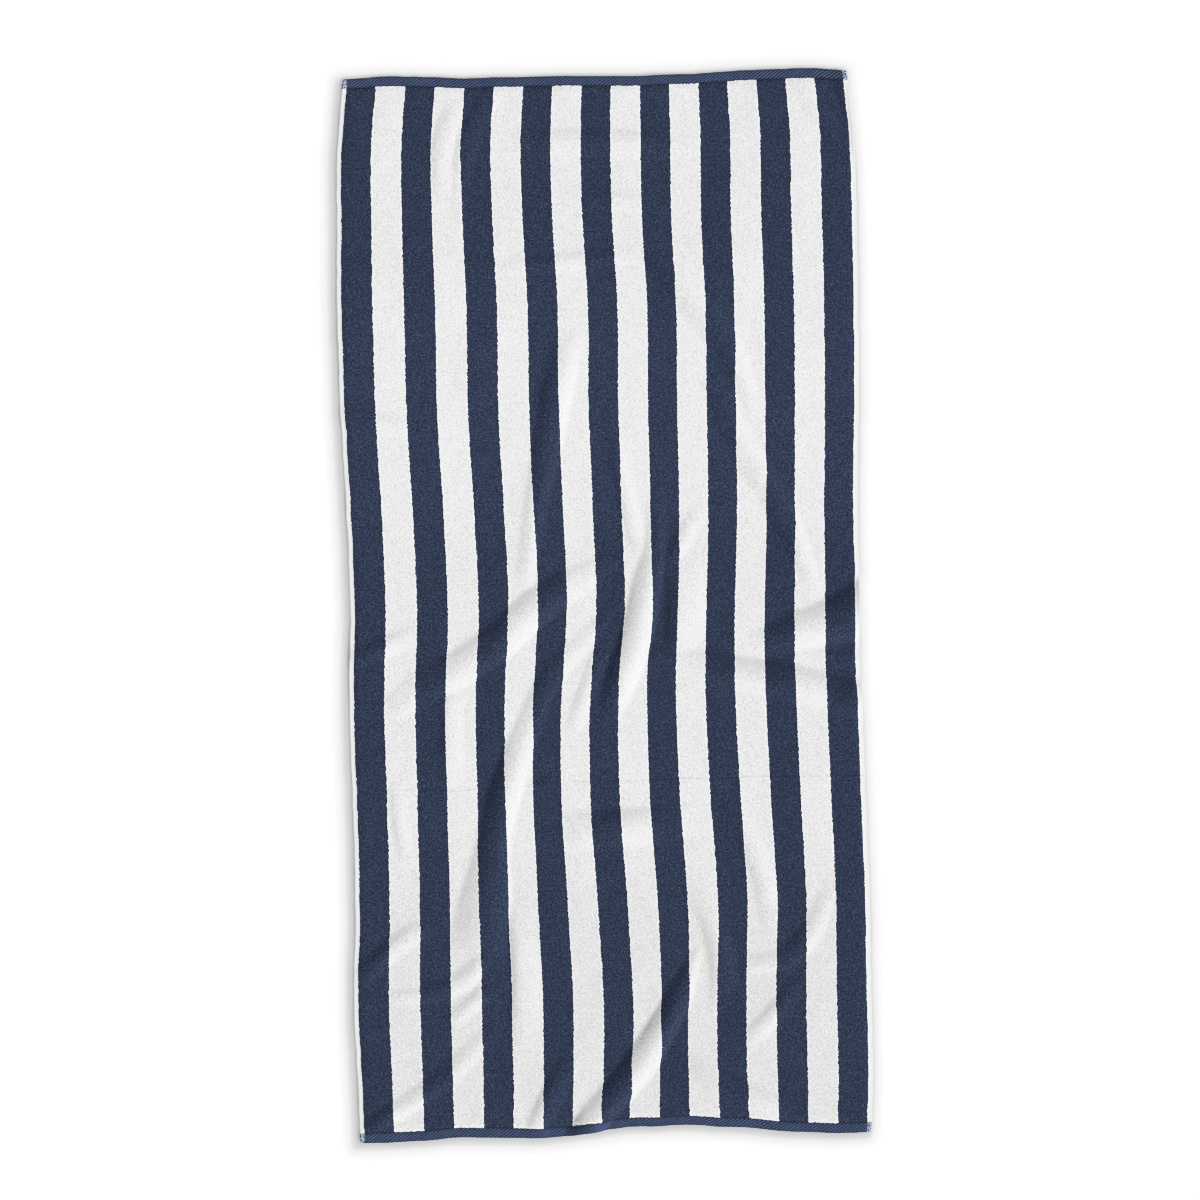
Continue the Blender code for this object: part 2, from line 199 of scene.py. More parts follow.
# the small folds: start, a middle point and end of the crest; where along it
# the peak is (0-1); its height; half widths on the upper left side and on the
# other side
FOLDS = [
    Fold("sweep_branch", -394, -81, -333, -59, -268, -35, 0.45, 3.8, 17, 14),
    Fold("knot_left", 7, 302, 33, 172, 58, 58, 0.6, 3, 13, 14),
    Fold("knot_right", 152, 150, 124, 104, 90, 47, 0.55, 3, 14, 13),
    Fold("knot_low", 111, 65, 116, -8, 104, -92, 0.5, 6, 24, 34),
    Fold("left_tail", -147, -440, -139, -541, -146, -687, 0.45, 4.7, 13, 30),
    Fold("left_top", -1, -54, -30, -128, -58, -206, 0.45, 3, 13, 14),
    Fold("hem_hook", 119, -424, 156, -506, 157, -621, 0.5, 5.1, 16, 24),
    Fold("side_crease", 235, -76, 293, -82, 413, -92, 0.8, 2.6, 12, 12),
    Fold("mid_step", -80, -342, 13, -336, 122, -335, 0.5, 7.2, 27, 30),
    Fold("right_soft", 162, -277, 222, -390, 242, -511, 0.55, 3.8, 17, 18),
    Fold("right_low_2", 194, -667, 234, -630, 286, -566, 0.45, 3.8, 14, 16),
    Fold("right_low_3", 106, -686, 179, -739, 267, -774, 0.55, 7, 16, 22),
    Fold("left_low_1", -392, -568, -331, -513, -267, -471, 0.5, 4.2, 15, 17),
    Fold("left_low_3", -249, -629, -212, -598, -172, -569, 0.5, 3.4, 13, 13),
    Fold("left_low_5", -126, -805, -105, -757, -60, -674, 0.4, 5.1, 16, 20),
    Fold("left_high", -409, 301, -334, 279, -262, 256, 0.45, 3.4, 16, 20),
    Fold("top_soft", -148, 700, 6, 699, 165, 685, 0.5, 3.8, 18, 24),
    Fold("corner_1", 291, 795, 327, 749, 374, 678, 0.5, 2.2, 15, 16),
    Fold("corner_2", 367, 817, 393, 747, 406, 651, 0.5, 6.8, 22, 18),
    Fold("top_arc", -201, 777, -231, 708, -228, 599, 0.5, 3, 15, 20),
    Fold("top_line", -155, 511, -58, 518, 86, 532, 0.45, 2.6, 13, 15),
    Fold("top_faint", -56, 626, 4, 615, 100, 595, 0.5, 2.4, 13, 15),
    Fold("top_arc_2", -149, 782, -184, 731, -196, 560, 0.4, 2.7, 14, 20),
    Fold("left_arc", -323, -255, -320, -307, -303, -398, 0.5, 2.6, 9, 16),
    Fold("left_edge", -235, -130, -239, -185, -241, -278, 0.4, 3.4, 13, 22),
]


def between(q, stations, values):
    """Smooth curve through a table's values (cubic between stations)."""
    order = np.argsort(stations)
    s = np.asarray(stations, float)[order]
    w = np.asarray(values, float)[order]
    slope = np.gradient(w, s)
    i = np.clip(np.searchsorted(s, q) - 1, 0, len(s) - 2)
    gap = s[i + 1] - s[i]
    t = np.clip((q - s[i]) / gap, 0, 1)
    return (
        (2 * t**3 - 3 * t**2 + 1) * w[i]
        + (t**3 - 2 * t**2 + t) * gap * slope[i]
        + (3 * t**2 - 2 * t**3) * w[i + 1]
        + (t**3 - t**2) * gap * slope[i + 1]
    )


def sway(u, v):
    along = [row.along for row in SIDES]
    lines = [between(v, along, [row[i] for row in SIDES]) for i in range(1, 6)]
    x = u.copy()
    for i, line in enumerate(lines):
        share = between(u, ACROSS, [float(i == j) for j in range(len(ACROSS))])
        x += line * share
    across = [row.across for row in ENDS]
    top = between(u, across, [row.top for row in ENDS])
    bottom = between(u, across, [row.bottom for row in ENDS])
    y = (
        v
        + top * np.exp(-(FLAT_LENGTH / 2 - v) / END_REACH)
        + bottom * np.exp(-(FLAT_LENGTH / 2 + v) / END_REACH)
    )
    return x, y


def roll(r):
    """Height of a ridge 1 high at r half widths from its crest."""
    side = 1 - np.minimum(r, 3.0) ** ROUND
    return np.logaddexp(0, side / FOOT) / np.logaddexp(0, 1 / FOOT)


def slope_table(steps=640, last=1.6):
    """(r, share of the squared slope up to r, all of it) of the roll."""
    r = np.linspace(0, last, steps + 1)
    d = np.gradient(roll(r), r)
    part = (d[1:] ** 2 + d[:-1] ** 2) / 2 * np.diff(r)
    total = float(part.sum())
    return r, np.concatenate([[0.0], np.cumsum(part)]) / total, total


SLOPE_R, SLOPE_SHARE, SLOPE_TOTAL = slope_table()


def lofted(rows):
    """The main fold of these sections: a function of x, y that gives the
    distance from the crest, the width on that side, the height and the direction."""
    shade = np.array([(row.shade_x, row.shade_y) for row in rows], float)
    light = np.array([(row.light_x, row.light_y) for row in rows], float)
    start, end = (shade[0] + light[0]) / 2, (shade[-1] + light[-1]) / 2
    tx, ty = (end - start) / math.hypot(*(end - start))
    nx, ny = -ty, tx
    if ((light - shade) @ (nx, ny)).mean() < 0:
        nx, ny = -nx, -ny
    shade_s, shade_o = (shade - start) @ (tx, ty), (shade - start) @ (nx, ny)
    light_s, light_o = (light - start) @ (tx, ty), (light - start) @ (nx, ny)
    mid_s = (shade_s + light_s) / 2
    height_s = np.concatenate([[mid_s[0] - RUN_OUT], mid_s, [mid_s[-1] + RUN_OUT]])
    height = [0.0, *(row.height for row in rows), 0.0]

    def at(x, y):
        s = (x - start[0]) * tx + (y - start[1]) * ty
        o = (x - start[0]) * nx + (y - start[1]) * ny
        near, far = between(s, shade_s, shade_o), between(s, light_s, light_o)
        up = np.maximum(between(s, height_s, height), 0)
        up = np.where((s > height_s[0]) & (s < height_s[-1]), up, 0)
        off = o - near - CREST * (far - near)
        return off, np.maximum(far - near, 8.0) * np.where(off < 0, CREST, 1 - CREST), up

    return at, nx, ny


def bowed(row):
    """The same for a small fold."""
    length = math.hypot(row.x2 - row.x0, row.y2 - row.y0)
    tx, ty = (row.x2 - row.x0) / length, (row.y2 - row.y0) / length
    nx, ny = -ty, tx
    if 0.88 * nx - 0.47 * ny < 0:
        nx, ny = -nx, -ny
    mid = ((row.x1 - row.x0) * tx + (row.y1 - row.y0) * ty) / length
    bow = ((row.x1 - row.x0) * nx + (row.y1 - row.y0) * ny) / (mid * (1 - mid))

    def at(x, y):
        s = ((x - row.x0) * tx + (y - row.y0) * ty) / length
        on = (s > 0) & (s < 1)
        s = np.clip(s, 1e-4, 1 - 1e-4)
        off = (x - row.x0) * nx + (y - row.y0) * ny - bow * s * (1 - s)
        rise = np.sin(math.pi * s ** (math.log(0.5) / math.log(row.peak)))
        return off, np.where(off < 0, row.shade, row.light), row.height * rise * on

    return at, nx, ny


def ridges():
    names = list(dict.fromkeys(row.fold for row in SECTIONS))
    main = [lofted([row for row in SECTIONS if row.fold == name]) for name in names]
    return main + [bowed(row) for row in FOLDS]


def raised(x, y, folds):
    """Height at x, y and how far the cloth there was drawn in, to x and y."""
    lift, in_x, in_y = np.zeros_like(x), np.zeros_like(x), np.zeros_like(x)
    for at, nx, ny in folds:
        off, half, height = at(x, y)
        on = height > 1e-4
        off, half, height = off[on], half[on], height[on]
        r = np.abs(off) / half
        lift[on] += (height * roll(r)) ** LIFT_BLEND
        taken = half * (np.sqrt(1 + SLOPE_TOTAL * (height / half) ** 2) - 1)
        drawn = (
            np.sign(off)
            * taken
            * np.interp(r, SLOPE_R, SLOPE_SHARE)
            * np.exp(-np.maximum(np.abs(off) - half, 0) / REACH)
        )
        in_x[on] += nx * drawn
        in_y[on] += ny * drawn
    return lift ** (1 / LIFT_BLEND), in_x, in_y


def laid_out(u, v):
    """Where the cloth point u, v comes to lie."""
    folds = ridges()
    goal_x, goal_y = sway(u, v)
    x, y = goal_x.copy(), goal_y.copy()
    for _ in range(SETTLE_STEPS):
        z, in_x, in_y = raised(x, y, folds)
        x += 0.8 * (goal_x - in_x - x)
        y += 0.8 * (goal_y - in_y - y)
    z = raised(x, y, folds)[0]
    return x, y, np.maximum(z - REST_GAP, 0)


# ---- small unevenness ----------------------------------------------------------
def lattice_noise(u, v, size_u, size_v, seed):
    """Smooth noise of about -1 to 1 with features of this size."""
    table = np.random.default_rng(seed).uniform(-1, 1, (512, 512))
    a, b = u / size_u + 200.37, v / size_v + 200.73
    i, j = np.floor(a).astype(int), np.floor(b).astype(int)
    s, t = a - i, b - j
    s, t = s * s * s * (s * (6 * s - 15) + 10), t * t * t * (t * (6 * t - 15) + 10)
    i, j, after_i, after_j = i % 512, j % 512, (i + 1) % 512, (j + 1) % 512
    low = table[i, j] * (1 - s) + table[after_i, j] * s
    high = table[i, after_j] * (1 - s) + table[after_i, after_j] * s
    return low * (1 - t) + high * t


def step(x, low, high):
    t = np.clip((x - low) / (high - low), 0, 1)
    return t * t * (3 - 2 * t)


def wander(u, v):
    """The woven edges aren't ruled lines: the sides and ends wave a little."""
    side = step(np.abs(u), FLAT_WIDTH / 2 - 40, FLAT_WIDTH / 2)
    end = step(np.abs(v), FLAT_LENGTH / 2 - 40, FLAT_LENGTH / 2)
    du = side * (
        0.55 * lattice_noise(v + 3000 * np.sign(u), v, 23, 1e9, 11)
        + 0.35 * lattice_noise(v + 3000 * np.sign(u), v, 9, 1e9, 12)
    )
    dv = end * (
        0.6 * lattice_noise(u + 3000 * np.sign(v), u, 34, 1e9, 13)
        + 0.25 * lattice_noise(u + 3000 * np.sign(v), u, 12, 1e9, 14)
    )
    return u + du, v + dv


def thickness(u, v):
    """Cloth thickness: full pile, the flat hem, the flat selvedge."""
    from_end = FLAT_LENGTH / 2 - np.abs(v)
    from_side = FLAT_WIDTH / 2 - np.abs(u)
    pile_end = step(from_end, HEM - 0.6, HEM + 2.2)
    pile_side = step(from_side, SELVEDGE - 1.2, SELVEDGE + 1.8)
    hem = HEM_THICK - 0.7 * np.exp(-(((from_end - HEM + 0.4) / 1.5) ** 2))
    flat = hem * (1 - pile_end) + PILE * pile_end
    side = SELVEDGE_THICK + (HEM_THICK - SELVEDGE_THICK) * (1 - pile_end) * 0.8
    thick = side * (1 - pile_side) + flat * pile_side
    loops = pile_end * pile_side
    uneven = 0.04 * lattice_noise(u, v, 9, 10, 1) + 0.17 * lattice_noise(u, v, 19, 23, 2)
    return thick + loops * uneven + (1 - loops) * 0.12 * lattice_noise(u, v, 8, 8, 3)


def relief(u, v):
    """What the cloth doesn't lie quite flat by, away from its ridges."""
    soft = (
        1.1 * lattice_noise(u, v, 78, 112, 4)
        + 0.45 * lattice_noise(u, v, 37, 49, 5)
        + 0.16 * lattice_noise(u, v, 17, 21, 6)
    )
    return np.maximum(soft + 0.25, 0)


# ---- the cloth -----------------------------------------------------------------
def rows_of(half, edge, inner, cells):
    """Net lines from -half to half: the edge rows, even cells between, the edge rows."""
    near = -half + np.array(edge)
    return np.concatenate([near, np.linspace(-half + inner, half - inner, cells + 1), -near[::-1]])


U = rows_of(FLAT_WIDTH / 2, EDGE_ROWS, SELVEDGE, CELLS_ACROSS)
V = rows_of(FLAT_LENGTH / 2, HEM_ROWS, HEM, CELLS_ALONG)


def lay_net():
    """Net points under the cloth, their normals and the cloth's thickness."""
    gu, gv = np.meshgrid(U, V, indexing="ij")
    x, y, z = laid_out(*wander(gu, gv))
    z = z + relief(gu, gv)
    point = np.stack([x, y, z], -1)
    along_u = np.gradient(point, axis=0)
    along_v = np.gradient(point, axis=1)
    normal = np.cross(along_u, along_v)
    normal /= np.linalg.norm(normal, axis=-1, keepdims=True)
    for _ in range(2):
        padded = np.pad(normal, ((1, 1), (1, 1), (0, 0)), mode="edge")
        normal = (
            padded[:-2, 1:-1] + padded[2:, 1:-1] + padded[1:-1, :-2] + padded[1:-1, 2:]
        ) / 8 + normal / 2
        normal /= np.linalg.norm(normal, axis=-1, keepdims=True)
    return gu, gv, point, normal, thickness(gu, gv)


GU, GV, BASE, NORMAL, THICK = lay_net()
TOP = BASE + NORMAL * THICK[..., None]
MIDDLE = np.array(
    [(TOP[..., i].min() + TOP[..., i].max()) / 2 for i in (0, 1)] + [0.0]
)


def rim_path():
    """Net indexes round the edge, anticlockwise from above."""
    m, n = len(U) - 1, len(V) - 1
    return (
        [(i, 0) for i in range(m)]
        + [(m, j) for j in range(n)]
        + [(i, n) for i in range(m, 0, -1)]
        + [(0, j) for j in range(n, 0, -1)]
    )


def cloth_mesh():
    m, n = len(U), len(V)
    path = rim_path()
    pi, pj = np.array(path).T
    at = np.arange(m * n).reshape(m, n)

    # the rim: half an ellipse from the top of the edge down to its underside
    low, high, normal = BASE[pi, pj], TOP[pi, pj], NORMAL[pi, pj]
    inner = BASE[np.clip(pi, 1, m - 2), np.clip(pj, 1, n - 2)]
    out = low - inner
    out -= normal * (out * normal).sum(-1, keepdims=True)
    out /= np.linalg.norm(out, axis=-1, keepdims=True)
    half = np.linalg.norm(high - low, axis=-1, keepdims=True) / 2
    rings = []
    for angle in RIM_ANGLES:
        a = math.radians(angle)
        rings.append(
            (low + high) / 2
            + out * half * RIM_BULGE * math.cos(a)
            + normal * half * math.sin(a)
        )
    rings.append(low)
    for ring in rings:
        ring[:, 2] = np.maximum(ring[:, 2], 0)

    # the underside: every UNDER-th line, and its edge is the last ring
    cu, cv = np.arange(0, m, UNDER), np.arange(0, n, UNDER)
    inside = [(i, j) for i in cu[1:-1] for j in cv[1:-1]]
    ii, jj = np.array(inside).T

    points = np.concatenate([TOP.reshape(-1, 3), *rings, BASE[ii, jj]])
    count = len(path)
    ring_at = [m * n + k * count for k in range(len(rings))]
    last = ring_at[-1]
    path_at = {key: last + k for k, key in enumerate(path)}
    under_at = {key: m * n + len(rings) * count + k for k, key in enumerate(inside)}
    under_at.update(path_at)

    faces = []
    quads = np.stack([at[:-1, :-1], at[1:, :-1], at[1:, 1:], at[:-1, 1:]], -1)
    faces += quads.reshape(-1, 4).tolist()
    tops = len(faces)
    edge_at = [int(at[i, j]) for i, j in path]
    for k in range(len(rings)):
        above = edge_at if k == 0 else [ring_at[k - 1] + q for q in range(count)]
        below = [ring_at[k] + q for q in range(count)]
        for q in range(count):
            r = (q + 1) % count
            faces.append([above[q], below[q], below[r], above[r]])
    sides = len(faces)
    for a in range(len(cu) - 1):
        for b in range(len(cv) - 1):
            i0, i1, j0, j1 = cu[a], cu[a + 1], cv[b], cv[b + 1]
            loop = [(i0, j0)]
            if i0 == 0:
                loop += [(0, j) for j in range(j0 + 1, j1)]
            loop += [(i0, j1)]
            if j1 == n - 1:
                loop += [(i, j1) for i in range(i0 + 1, i1)]
            loop += [(i1, j1)]
            if i1 == m - 1:
                loop += [(i1, j) for j in range(j1 - 1, j0, -1)]
            loop += [(i1, j0)]
            if j0 == 0:
                loop += [(i, 0) for i in range(i1 - 1, i0, -1)]
            faces.append([under_at[(int(i), int(j))] for i, j in loop])

    mesh = bpy.data.meshes.new("towel_cloth")
    mesh.from_pydata(((points - MIDDLE) * MM).tolist(), [], faces)

    # cloth coordinates for the pattern: u, v in metres and 1 on the underside
    cloth = np.zeros((len(points), 3), np.float32)
    cloth[: m * n, 0], cloth[: m * n, 1] = GU.ravel(), GV.ravel()
    for k, start in enumerate(ring_at):
        cloth[start : start + count, 0] = GU[pi, pj]
        cloth[start : start + count, 1] = GV[pi, pj]
        cloth[start : start + count, 2] = (k + 1) / len(ring_at)
    cloth[under_at[inside[0]] :, 0] = GU[ii, jj]
    cloth[under_at[inside[0]] :, 1] = GV[ii, jj]
    cloth[under_at[inside[0]] :, 2] = 1
    cloth[:, :2] *= MM
    layer = mesh.attributes.new("cloth", "FLOAT_VECTOR", "POINT")
    layer.data.foreach_set("vector", cloth.ravel())

    # one map for the whole cloth: the top and its rim at the left, the underside right
    loop_vert = np.empty(len(mesh.loops), np.int32)
    mesh.loops.foreach_get("vertex_index", loop_vert)
    sizes = np.array([len(f) for f in faces])
    face_of = np.repeat(np.arange(len(faces)), sizes)
    a = cloth[loop_vert, 0] / MM / FLAT_WIDTH
    b = cloth[loop_vert, 1] / MM / FLAT_LENGTH
    ring_no = np.zeros(len(points))
    for k, start in enumerate(ring_at):
        ring_no[start : start + count] = k + 1
    outward = ring_no[loop_vert] * 0.0016
    grow_u = np.where(np.abs(a) > 0.4999, np.sign(a) * outward, 0)
    grow_v = np.where(np.abs(b) > 0.4999, np.sign(b) * outward, 0)
    under = face_of >= sides
    place_u = np.where(under, 0.75 - a * 0.47, 0.25 + a * 0.47 + grow_u)
    place_v = np.where(under, 0.5 + b * 0.965, 0.5 + b * 0.965 + grow_v)
    layer = mesh.uv_layers.new(name="OFBake")
    layer.data.foreach_set("uv", np.stack([place_u, place_v], -1).ravel().astype(np.float32))
    mesh.validate()
    mesh.update()
    mesh.shade_smooth()
    return mesh


def linked(name, mesh):
    made = bpy.data.objects.new(name, mesh)
    bpy.context.scene.collection.objects.link(made)
    return made


# ---- sewing --------------------------------------------------------------------
def on_top(u, v, above=0.0):
    """The place on the cloth's upper face at u, v, raised along the face's normal by above."""
    i = np.clip(np.searchsorted(U, u) - 1, 0, len(U) - 2)
    j = np.clip(np.searchsorted(V, v) - 1, 0, len(V) - 2)
    s, t = (u - U[i]) / (U[i + 1] - U[i]), (v - V[j]) / (V[j + 1] - V[j])
    s, t = s[..., None], t[..., None]

    def read(grid):
        return (
            grid[i, j] * (1 - s) * (1 - t)
            + grid[i + 1, j] * s * (1 - t)
            + grid[i, j + 1] * (1 - s) * t
            + grid[i + 1, j + 1] * s * t
        )

    return read(TOP) + read(NORMAL) * above


STITCH_PITCH = 3.3
STITCH_LENGTH = 2.5
STITCH_RADIUS = 0.26


def thread(path, radius, sides=6):
    """Points and faces of a closed thread along a path (mm)."""
    path = np.asarray(path, float)
    along = np.gradient(path, axis=0)
    along /= np.linalg.norm(along, axis=1, keepdims=True)
    across = np.cross(along, (0, 0, 1))
    across /= np.linalg.norm(across, axis=1, keepdims=True)
    up = np.cross(across, along)
    turn = np.linspace(0, 2 * math.pi, sides, endpoint=False)
    taper = np.ones(len(path))
    taper[0] = taper[-1] = 0.55
    ring = (
        across[:, None] * np.cos(turn)[None, :, None]
        + up[:, None] * np.sin(turn)[None, :, None]
    )
    points = (path[:, None] + ring * (radius * taper)[:, None, None]).reshape(-1, 3)
    faces = []
    for k in range(len(path) - 1):
        for q in range(sides):
            r = (q + 1) % sides
            faces.append([k * sides + q, k * sides + r, (k + 1) * sides + r, (k + 1) * sides + q])
    faces.append(list(range(sides))[::-1])
    faces.append([(len(path) - 1) * sides + q for q in range(sides)])
    return points, faces


def sewing_mesh():
    """The running stitches at the inner edge of both hems, as one mesh."""
    rng = np.random.default_rng(7)
    points, faces, total = [], [], 0
    for end in (1, -1):
        line = FLAT_LENGTH / 2 - HEM + 0.9
        starts = np.arange(-FLAT_WIDTH / 2 + 2.0, FLAT_WIDTH / 2 - 4.0, STITCH_PITCH)
        for start in starts:
            u = start + np.array([0.0, 0.5, 1.0]) * STITCH_LENGTH
            v = np.full(3, end * line) + rng.uniform(-0.18, 0.18, 3)
            path = on_top(u, v, 0.1)
            path[1] += (0, 0, 0.14)
            p, f = thread(path, STITCH_RADIUS, 5)
            points.append(p)
            faces += [[total + q for q in face] for face in f]
            total += len(p)
    # a loose end that lies on the pile near a corner
    u = np.array([-350.8, -350.2, -350.9, -352.3, -352.6, -352.9])
    v = np.array([785.5, 782.6, 780.2, 777.6, 775.4, 773.2])
    p, f = thread(on_top(u, v, 0.5), 0.3, 6)
    points.append(p)
    faces += [[total + q for q in face] for face in f]
    mesh = bpy.data.meshes.new("hem_sewing")
    mesh.from_pydata(((np.concatenate(points) - MIDDLE) * MM).tolist(), [], faces)
    mesh.update()
    mesh.shade_smooth()
    return mesh


# ---- materials -------------------------------------------------------------------
class Nodes:
    """Short names for the shader nodes of one material."""

    def __init__(self, material):
        material.use_nodes = True
        self.tree = material.node_tree
        self.tree.nodes.clear()

    def add(self, kind, **settings):
        node = self.tree.nodes.new(kind)
        for key, value in settings.items():
            setattr(node, key, value)
        return node

    def link(self, a, b):
        self.tree.links.new(a, b)

    def put(self, socket, value):
        if isinstance(value, bpy.types.NodeSocket):
            self.link(value, socket)
        else:
            socket.default_value = value

    def math(self, operation, *values, clamp=False):
        node = self.add("ShaderNodeMath", operation=operation, use_clamp=clamp)
        for socket, value in zip(node.inputs, values):
            self.put(socket, value)
        return node.outputs[0]

    def mix(self, factor, a, b):
        node = self.add("ShaderNodeMix", data_type="RGBA", clamp_factor=True)
        self.put(node.inputs[0], factor)
        for socket, value in ((node.inputs[6], a), (node.inputs[7], b)):
            self.put(socket, (*value, 1) if isinstance(value, tuple) else value)
        return node.outputs[2]

    def blend(self, factor, a, b):
        node = self.add("ShaderNodeMix", data_type="FLOAT", clamp_factor=True)
        for socket, value in zip((node.inputs[0], node.inputs[2], node.inputs[3]), (factor, a, b)):
            self.put(socket, value)
        return node.outputs[0]

    def scaled(self, colour, factor):
        node = self.add("ShaderNodeVectorMath", operation="SCALE")
        self.put(node.inputs[0], colour)
        self.put(node.inputs["Scale"], factor)
        return node.outputs[0]

    def vector(self, x, y, z=0.0):
        node = self.add("ShaderNodeCombineXYZ")
        for socket, value in zip(node.inputs, (x, y, z)):
            self.put(socket, value)
        return node.outputs[0]

    def noise(self, vector, scale, detail=2.0, rough=0.5, colour=False):
        node = self.add("ShaderNodeTexNoise", noise_dimensions="2D")
        self.put(node.inputs["Vector"], vector)
        node.inputs["Scale"].default_value = scale
        node.inputs["Detail"].default_value = detail
        node.inputs["Roughness"].default_value = rough
        return node.outputs["Color" if colour else "Fac"]

    def between(self, value, low, high):
        """0 below low, 1 above high, smooth between."""
        node = self.add("ShaderNodeMapRange", interpolation_type="SMOOTHSTEP", clamp=True)
        self.put(node.inputs["Value"], value)
        self.put(node.inputs["From Min"], low)
        self.put(node.inputs["From Max"], high)
        return node.outputs["Result"]


NAVY = (0.0342, 0.0487, 0.0925)
NAVY_DEEP = (0.0135, 0.0205, 0.043)
NAVY_LIGHT = (0.084, 0.120, 0.212)
NAVY_MEAN = (0.0313, 0.0451, 0.0857)
WHITE = (0.875, 0.868, 0.874)
WHITE_SHADE = (0.60, 0.593, 0.594)
TWILL = (0.096, 0.135, 0.246)
TWILL_DEEP = (0.005, 0.010, 0.029)
EDGE_WHITE = (0.86, 0.865, 0.87)
GAIN = 1.0
LOOP_ACROSS = 1.1        # mm from loop to loop
LOOP_ALONG = 1.3


def towel_material():
    made = bpy.data.materials.new("striped_terry")
    n = Nodes(made)
    place = n.add("ShaderNodeAttribute", attribute_type="GEOMETRY", attribute_name="cloth")
    parts = n.add("ShaderNodeSeparateXYZ")
    n.link(place.outputs["Vector"], parts.inputs[0])
    u = n.math("MULTIPLY", parts.outputs[0], 1000.0)
    v = n.math("MULTIPLY", parts.outputs[1], 1000.0)
    flat = n.vector(u, v)

    # loops: one cell each
    loops = n.add("ShaderNodeTexVoronoi", voronoi_dimensions="2D", feature="F1")
    n.link(n.vector(n.math("DIVIDE", u, LOOP_ACROSS), n.math("DIVIDE", v, LOOP_ALONG)), loops.inputs["Vector"])
    loops.inputs["Scale"].default_value = 1.0
    loops.inputs["Randomness"].default_value = 0.85
    cell = n.add("ShaderNodeSeparateXYZ")
    n.link(loops.outputs["Position"], cell.inputs[0])
    cell_u = n.math("MULTIPLY", cell.outputs[0], LOOP_ACROSS)
    cell_v = n.math("MULTIPLY", cell.outputs[1], LOOP_ALONG)
    chance = n.add("ShaderNodeSeparateColor")
    n.link(loops.outputs["Color"], chance.inputs[0])
    lot, lot2 = chance.outputs[0], chance.outputs[1]
    dome = n.math("SUBTRACT", 1.0, n.math("MULTIPLY", loops.outputs["Distance"], 1.15), clamp=True)

    # stripes, looked up a loop at a time so that their edges are as ragged as the pile
    wave = n.noise(n.vector(n.math("MULTIPLY", cell_u, 0.02), cell_v), 0.045, 1.0)
    wave = n.math("MULTIPLY", n.math("SUBTRACT", wave, 0.5), 1.6)
    tooth = n.noise(n.vector(n.math("MULTIPLY", cell_u, 0.25), cell_v), 0.24, 1.0)
    tooth = n.math("MULTIPLY", n.math("SUBTRACT", tooth, 0.5), 2.6)
    lookup = n.math("ADD", n.blend(0.62, u, cell_u), n.math("ADD", wave, tooth))
    stripe = n.math("DIVIDE", n.math("ADD", lookup, FLAT_WIDTH / 2 - SELVEDGE), STRIPE_WIDTH)
    half_turn = n.math("FRACT", n.math("MULTIPLY", stripe, 0.5))
    from_edge = n.math("MULTIPLY", n.math("SUBTRACT", n.math("ABSOLUTE", n.math("SUBTRACT", half_turn, 0.75)), 0.25), 2 * STRIPE_WIDTH)
    white = n.between(n.math("MULTIPLY", from_edge, -1.0), -0.22, 0.22)
    near_edge = n.math("SUBTRACT", 1.0, n.between(n.math("ABSOLUTE", from_edge), 0.6, 2.8))

    # where each weave is
    abs_u, abs_v = n.math("ABSOLUTE", u), n.math("ABSOLUTE", v)
    ragged = n.math("MULTIPLY", n.math("SUBTRACT", n.noise(n.vector(cell_u, n.math("MULTIPLY", cell_v, 0.2)), 0.31, 1.0), 0.5), 2.0)
    hem_line = n.math("ADD", n.math("ADD", n.blend(0.5, abs_v, n.math("ABSOLUTE", cell_v)), ragged), 0.0)
    hem = n.between(hem_line, FLAT_LENGTH / 2 - HEM - 0.35, FLAT_LENGTH / 2 - HEM + 0.35)
    side_line = n.blend(0.5, abs_u, n.math("ABSOLUTE", cell_u))
    selvedge = n.between(side_line, FLAT_WIDTH / 2 - SELVEDGE - 0.3, FLAT_WIDTH / 2 - SELVEDGE + 0.3)

    # pile colours
    broad = n.noise(flat, 0.035, 3.0, 0.6)
    middle = n.noise(flat, 0.16, 2.0, 0.6)
    fine = n.noise(flat, 0.75, 1.0, 0.5)
    grain = n.noise(flat, 0.40, 0.0)
    navy = n.mix(n.between(lot, 0.0, 0.75), NAVY_DEEP, NAVY)
    navy = n.mix(n.math("MULTIPLY", n.between(lot, 0.72, 1.0), 0.70), navy, NAVY_LIGHT)
    navy = n.mix(0.34, navy, NAVY_MEAN)
    navy = n.scaled(navy, n.math("ADD", 1.0, n.math("MULTIPLY", n.math("SUBTRACT", grain, 0.5), 1.5)))
    navy = n.scaled(navy, n.math("ADD", 0.985, n.math("MULTIPLY", middle, 0.03)))
    navy = n.scaled(navy, n.math("ADD", 0.94, n.math("MULTIPLY", broad, 0.12)))
    navy = n.scaled(navy, n.math("SUBTRACT", 1.0, n.math("MULTIPLY", near_edge, 0.22)))
    pale = n.mix(n.between(lot2, 0.55, 1.0), WHITE, WHITE_SHADE)
    pale = n.mix(n.math("MULTIPLY", n.between(lot2, 0.0, 0.5), 0.9), WHITE_SHADE, pale)
    pale = n.mix(0.10, pale, WHITE)
    pale = n.scaled(pale, n.math("ADD", 1.0, n.math("MULTIPLY", n.math("SUBTRACT", grain, 0.5), 0.34)))
    pale = n.scaled(pale, n.math("ADD", 0.99, n.math("MULTIPLY", middle, 0.02)))
    pinhole = n.between(lot, 0.86, 1.0)
    pale = n.scaled(pale, n.math("SUBTRACT", 1.022, n.math("MULTIPLY", pinhole, 0.31)))
